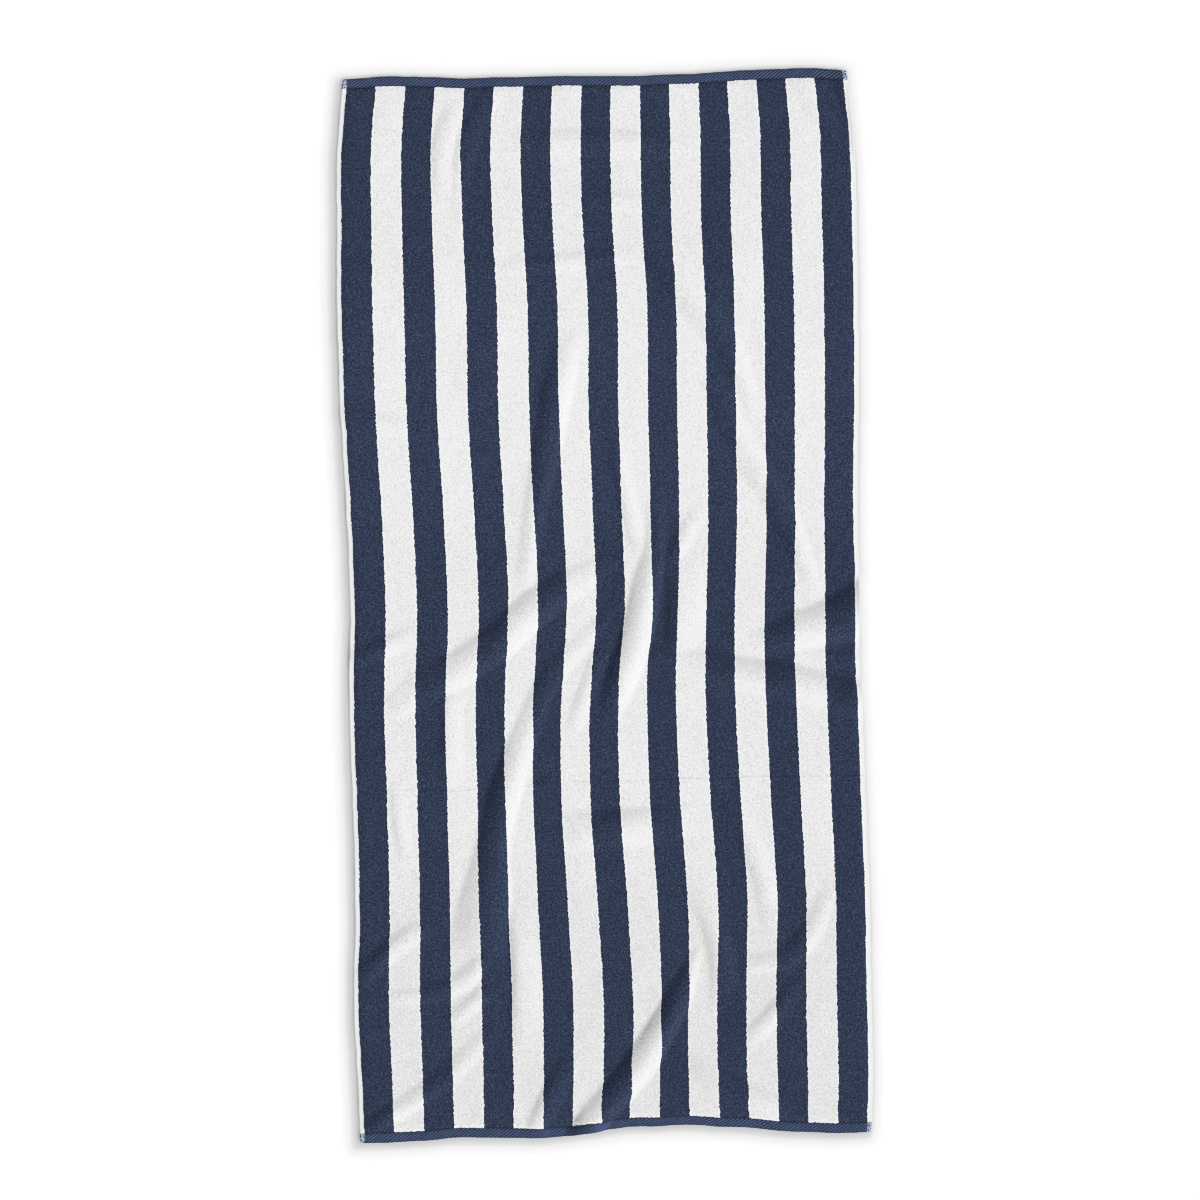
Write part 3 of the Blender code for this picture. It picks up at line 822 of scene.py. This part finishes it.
    # the pile is a little darker towards its lower hem and a little lighter above its middle
    lower = n.math("SUBTRACT", 1.0, n.between(v, -500.0, -330.0))
    lighter_band = n.math("MULTIPLY", n.between(v, 60.0, 170.0), n.math("SUBTRACT", 1.0, n.between(v, 380.0, 560.0)))
    pale = n.scaled(pale, n.math("SUBTRACT", 1.0, n.math("MULTIPLY", lower, 0.085)))
    pale = n.scaled(pale, n.math("ADD", 1.0, n.math("MULTIPLY", lighter_band, 0.035)))
    tips = n.between(hem_line, FLAT_LENGTH / 2 - HEM - 3.2, FLAT_LENGTH / 2 - HEM - 1.0)
    pale = n.scaled(pale, n.math("ADD", 1.0, n.math("MULTIPLY", tips, 0.14)))
    navy = n.scaled(navy, n.math("ADD", 1.0, n.math("MULTIPLY", lighter_band, 0.09)))
    pale = n.scaled(pale, n.math("ADD", 1.0, n.math("MULTIPLY", near_edge, 0.20)))
    pile = n.mix(white, navy, pale)
    # painted shade: each loop is darker towards its edge, where the loops shade one another
    pile = n.scaled(pile, n.math("ADD", 0.80, n.math("MULTIPLY", dome, 0.30)))

    # hem: flat twill with its lines rising to the right
    bend = n.math("MULTIPLY", n.math("SUBTRACT", n.noise(flat, 0.12, 1.0), 0.5), 1.6)
    twill = n.math("SUBTRACT", n.math("ADD", u, bend), n.math("MULTIPLY", v, 1.56))
    twill_wave = n.math("ADD", 0.5, n.math("MULTIPLY", n.math("SINE", n.math("MULTIPLY", twill, 2 * math.pi / 6.8)), 0.5))
    patch = n.noise(flat, 0.09, 2.0)
    twill_shade = n.math("ADD", n.math("MULTIPLY", twill_wave, n.math("ADD", 0.60, n.math("MULTIPLY", patch, 0.5))), n.math("MULTIPLY", n.math("SUBTRACT", fine, 0.5), 0.30))
    hem_colour = n.mix(twill_shade, TWILL_DEEP, TWILL)
    fold_line = n.between(abs_v, FLAT_LENGTH / 2 - 3.0, FLAT_LENGTH / 2)
    hem_colour = n.scaled(hem_colour, n.math("SUBTRACT", 1.0, n.math("MULTIPLY", fold_line, 0.25)))
    seam_dark = n.math("SUBTRACT", 1.0, n.between(n.math("ABSOLUTE", n.math("SUBTRACT", hem_line, FLAT_LENGTH / 2 - HEM + 0.8)), 0.5, 1.7))
    hem_colour = n.scaled(hem_colour, n.math("SUBTRACT", 1.0, n.math("MULTIPLY", seam_dark, 0.60)))
    # painted shade along the foot of the pile at the hem: a narrow band darkened in the navy and dented in the bump
    pile_foot_groove_and_shade = n.math("SUBTRACT", 1.0, n.between(n.math("ABSOLUTE", n.math("SUBTRACT", abs_v, FLAT_LENGTH / 2 - HEM - 0.6)), 0.0, 1.7))
    mottle = n.between(n.noise(flat, 0.55, 2.0, 0.7), 0.44, 0.64)
    hem_end = n.mix(mottle, (0.06, 0.075, 0.13), (0.50, 0.52, 0.57))

    # selvedge: plain weave, white
    weave = n.math("SINE", n.math("MULTIPLY", v, 2 * math.pi / 1.5))
    side_colour = n.scaled(n.mix(fine, EDGE_WHITE, (0.74, 0.75, 0.75)), n.math("ADD", 0.96, n.math("MULTIPLY", weave, 0.04)))

    # painted shade: the selvedge is darker towards its outer edge, where it rounds down
    selvedge_edge_shade = n.between(abs_u, FLAT_WIDTH / 2 - 4.5, FLAT_WIDTH / 2 - 0.5)
    side_colour = n.scaled(side_colour, n.math("SUBTRACT", 1.0, n.math("MULTIPLY", selvedge_edge_shade, 0.12)))

    colour = n.mix(hem, pile, hem_colour)
    # painted shade: the navy is darkened along the foot of the pile at the hem, the white is not
    colour = n.scaled(colour, n.math("SUBTRACT", 1.0, n.math("MULTIPLY", pile_foot_groove_and_shade, n.blend(white, 0.42, 0.0))))
    colour = n.mix(selvedge, colour, side_colour)
    colour = n.mix(n.math("MULTIPLY", selvedge, hem), colour, hem_end)

    # faint line where the towel lay folded in storage, in short broken pieces: a shallow groove, with painted shade
    # darkening the colour along it
    crease_v = n.math("ADD", -265.0, n.math("MULTIPLY", n.math("SUBTRACT", n.noise(n.vector(n.math("MULTIPLY", u, 0.5), 3.0), 0.03, 2.0), 0.5), 9.0))
    crease_v = n.math("SUBTRACT", crease_v, n.math("MULTIPLY", n.math("SUBTRACT", 1.0, n.between(u, -170.0, -70.0)), 9.0))
    crease = n.math("SUBTRACT", 1.0, n.between(n.math("ABSOLUTE", n.math("SUBTRACT", v, crease_v)), 0.0, 1.8))
    broken = n.between(n.noise(n.vector(u, 7.0), 0.22, 1.0), 0.36, 0.50)
    crease = n.math("MULTIPLY", crease, n.math("MULTIPLY", broken, n.between(u, -345.0, -300.0)))
    colour = n.scaled(colour, n.math("SUBTRACT", 1.0, n.math("MULTIPLY", crease, 0.24)))
    colour = n.scaled(colour, GAIN)

    # relief
    flat_weave = n.math("MAXIMUM", hem, selvedge)
    tuft = n.math("ADD", n.math("MULTIPLY", dome, 0.75), n.math("MULTIPLY", lot2, 0.45))
    pile_height = n.math("MULTIPLY", tuft, 1.1)
    weave_height = n.math("ADD", n.math("MULTIPLY", twill_wave, 0.35), n.math("MULTIPLY", fine, 0.25))
    height = n.blend(flat_weave, pile_height, weave_height)
    height = n.math("SUBTRACT", height, n.math("MULTIPLY", crease, 0.8))
    height = n.math("SUBTRACT", height, n.math("MULTIPLY", pile_foot_groove_and_shade, 0.6))
    bump = n.add("ShaderNodeBump")
    bump.inputs["Strength"].default_value = 0.55
    bump.inputs["Distance"].default_value = 0.0007
    n.link(height, bump.inputs["Height"])

    shader = n.add("ShaderNodeBsdfPrincipled")
    n.link(colour, shader.inputs["Base Color"])
    n.link(bump.outputs[0], shader.inputs["Normal"])
    rough = n.blend(flat_weave, 0.97, 0.82)
    n.link(rough, shader.inputs["Roughness"])
    shader.inputs["Specular IOR Level"].default_value = 0.12
    shader.inputs["Sheen Weight"].default_value = 0.06
    shader.inputs["Sheen Roughness"].default_value = 0.45
    out = n.add("ShaderNodeOutputMaterial")
    n.link(shader.outputs[0], out.inputs[0])
    return made


def sewing_material():
    made = bpy.data.materials.new("sewing_thread")
    n = Nodes(made)
    place = n.add("ShaderNodeTexCoord")
    ply = n.add("ShaderNodeTexNoise")
    ply.inputs["Scale"].default_value = 900.0
    n.link(place.outputs["Object"], ply.inputs["Vector"])
    parts = n.add("ShaderNodeSeparateXYZ")
    n.link(place.outputs["Object"], parts.inputs[0])
    loose = n.math(
        "MULTIPLY",
        n.math("LESS_THAN", parts.outputs[0], -0.3465),
        n.math("LESS_THAN", n.math("ABSOLUTE", n.math("SUBTRACT", parts.outputs[1], 0.7785)), 0.0075),
    )
    loose = n.math("MULTIPLY", loose, n.math("GREATER_THAN", parts.outputs[0], -0.356))
    thread_colour = n.mix(ply.outputs["Fac"], (0.045, 0.068, 0.130), (0.085, 0.12, 0.205))
    colour = n.mix(loose, thread_colour, n.mix(ply.outputs["Fac"], (0.22, 0.22, 0.22), (0.42, 0.41, 0.40)))
    shader = n.add("ShaderNodeBsdfPrincipled")
    n.link(colour, shader.inputs["Base Color"])
    bump = n.add("ShaderNodeBump")
    bump.inputs["Distance"].default_value = 0.0001
    n.link(ply.outputs["Fac"], bump.inputs["Height"])
    n.link(bump.outputs[0], shader.inputs["Normal"])
    shader.inputs["Roughness"].default_value = 0.6
    out = n.add("ShaderNodeOutputMaterial")
    n.link(shader.outputs[0], out.inputs[0])
    return made


def floor_material():
    made = bpy.data.materials.new("pale_floor")
    n = Nodes(made)
    shader = n.add("ShaderNodeBsdfPrincipled")
    place = n.add("ShaderNodeTexCoord")
    grain = n.add("ShaderNodeTexNoise")
    grain.inputs["Scale"].default_value = 3.0
    n.link(place.outputs["Object"], grain.inputs["Vector"])
    # painted shadow: the 'shade' attribute darkens the floor's colour and its glow round the towel
    shade = n.add("ShaderNodeAttribute", attribute_type="GEOMETRY", attribute_name="shade")
    grey = n.mix(grain.outputs["Fac"], (0.975, 0.975, 0.975), (0.985, 0.985, 0.985))
    n.link(n.scaled(grey, shade.outputs["Fac"]), shader.inputs["Base Color"])
    shader.inputs["Roughness"].default_value = 1.0
    shader.inputs["Specular IOR Level"].default_value = 0.0
    shader.subsurface_method = "BURLEY"
    shader.inputs["Subsurface Weight"].default_value = 0.85
    shader.inputs["Subsurface Radius"].default_value = (1.0, 1.0, 1.0)
    shader.inputs["Subsurface Scale"].default_value = 0.045
    n.link(shade.outputs["Color"], shader.inputs["Emission Color"])
    shader.inputs["Emission Strength"].default_value = 0.14
    out = n.add("ShaderNodeOutputMaterial")
    n.link(shader.outputs[0], out.inputs[0])
    return made


# ---- the pieces ------------------------------------------------------------------
towel = linked("towel_cloth", cloth_mesh())
towel.data.materials.append(towel_material())
sewing = linked("hem_sewing", sewing_mesh())
sewing.data.materials.append(sewing_material())
for piece in (towel, sewing):
    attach(piece, "root")
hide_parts("towel")

# painted shadow: a soft dark border painted on the floor round the towel, by the
# distance from its outline (mm), which lies a little to the lower left of the towel
PAINTED_SHADOW = {-4.0: 0.48, -1.0: 0.445, 1.5: 0.458, 6.0: 0.56, 10.5: 0.695, 15.0: 0.865, 19.5: 0.946, 23.0: 0.99, 26.0: 1.0}
PAINTED_SHADOW_SHIFT = (-5.7, -3.8)
FLOOR_CELL = 6.0
FLOOR_NEAR = (460.0, 868.0)
FLOOR_HALF = 24000.0


def painted_shadow_distance(x, y):
    """Distance of floor points from the towel's shifted outline, less than 0 inside."""
    pi, pj = np.array(rim_path()).T
    line = (TOP[pi, pj] - MIDDLE)[:, :2] + PAINTED_SHADOW_SHIFT
    after = np.roll(line, -1, axis=0)
    gone = np.full(x.shape, 1e9)
    crossed = np.zeros(x.shape, bool)
    for (ax, ay), (bx, by) in zip(line, after):
        ex, ey = bx - ax, by - ay
        s = np.clip(((x - ax) * ex + (y - ay) * ey) / (ex * ex + ey * ey), 0, 1)
        gone = np.minimum(gone, (x - ax - s * ex) ** 2 + (y - ay - s * ey) ** 2)
        if ay != by:
            crossed ^= ((ay > y) != (by > y)) & (x < ax + (y - ay) / (by - ay) * ex)
    return np.where(crossed, -1, 1) * np.sqrt(gone)


def floor_mesh():
    xs, ys = (
        np.concatenate([[-FLOOR_HALF], np.arange(-near, near + 1, FLOOR_CELL), [FLOOR_HALF]])
        for near in FLOOR_NEAR
    )
    gx, gy = np.meshgrid(xs, ys, indexing="ij")
    at = np.arange(gx.size).reshape(gx.shape)
    quads = np.stack([at[:-1, :-1], at[1:, :-1], at[1:, 1:], at[:-1, 1:]], -1).reshape(-1, 4)
    mesh = bpy.data.meshes.new("floor")
    points = np.stack([gx, gy, np.zeros_like(gx)], -1).reshape(-1, 3) * MM
    mesh.from_pydata(points.tolist(), [], quads.tolist())
    away = painted_shadow_distance(gx.ravel(), gy.ravel())
    # painted shadow: how much the floor is darkened at each point
    shade = np.interp(away, list(PAINTED_SHADOW), list(PAINTED_SHADOW.values()))
    colour = np.repeat(shade[:, None], 4, axis=1)
    colour[:, 3] = 1
    layer = mesh.attributes.new("shade", "FLOAT_COLOR", "POINT")
    layer.data.foreach_set("color", colour.astype(np.float32).ravel())
    mesh.update()
    return mesh


floor = linked("floor", floor_mesh())
floor.location.z = -0.0003
floor.data.materials.append(floor_material())

# ---- light and camera --------------------------------------------------------------
LIGHT_AZIMUTH = -34.0   # degrees from +X, towards -Y
LIGHT_HEIGHT = 31.0
KEY_STRENGTH = 4.05
FILL_STRENGTH = 0.39
PIXEL = 1.508           # mm of the towel in one pixel of a 1200-pixel frame
FRAME_PIXELS = 1200
CAMERA_TURN = 1.1       # degrees that the towel lies askew in the frame
CENTRE = (-7.4, 6.9)    # mm, the frame's centre on the towel

key_data = bpy.data.lights.new("key", "SUN")
key_data.energy = KEY_STRENGTH
key_data.angle = math.radians(13)
key = linked("key", key_data)
around, up = math.radians(LIGHT_AZIMUTH), math.radians(LIGHT_HEIGHT)
key.rotation_euler = (0, math.pi / 2 - up, around)

world = bpy.data.worlds.new("studio")
bpy.context.scene.world = world
world.use_nodes = True
world.node_tree.nodes["Background"].inputs[0].default_value = (1, 1, 1, 1)
world.node_tree.nodes["Background"].inputs[1].default_value = FILL_STRENGTH

camera_data = bpy.data.cameras.new("camera")
camera_data.angle = math.radians(21)
camera_data.clip_end = 100
camera = linked("camera", camera_data)
width = PIXEL * FRAME_PIXELS * MM
camera.location = (
    CENTRE[0] * MM - MIDDLE[0] * MM,
    CENTRE[1] * MM - MIDDLE[1] * MM,
    width / 2 / math.tan(math.radians(10.5)) + PILE * MM,
)
camera.rotation_euler = (0, 0, -math.radians(CAMERA_TURN))
bpy.context.scene.camera = camera
bpy.context.scene.view_settings.view_transform = "Standard"
bpy.context.scene.view_settings.look = "None"

# a soft shoulder, as a photograph has, so that lit folds in white don't burn out
TONES = {0.05: 0.0495, 0.10: 0.100, 0.15: 0.152, 0.20: 0.235, 0.25: 0.360, 0.31: 0.480, 0.38: 0.56, 0.49: 0.654, 0.60: 0.738, 0.77: 0.86, 0.90: 0.905, 1.05: 0.95}
TOP_TONE = 1.15
bpy.context.scene.view_settings.use_curve_mapping = True
tones = bpy.context.scene.view_settings.curve_mapping
tones.white_level = (TOP_TONE, TOP_TONE, TOP_TONE)
for light_in, light_out in TONES.items():
    tones.curves[3].points.new(light_in / TOP_TONE, light_out)
tones.update()
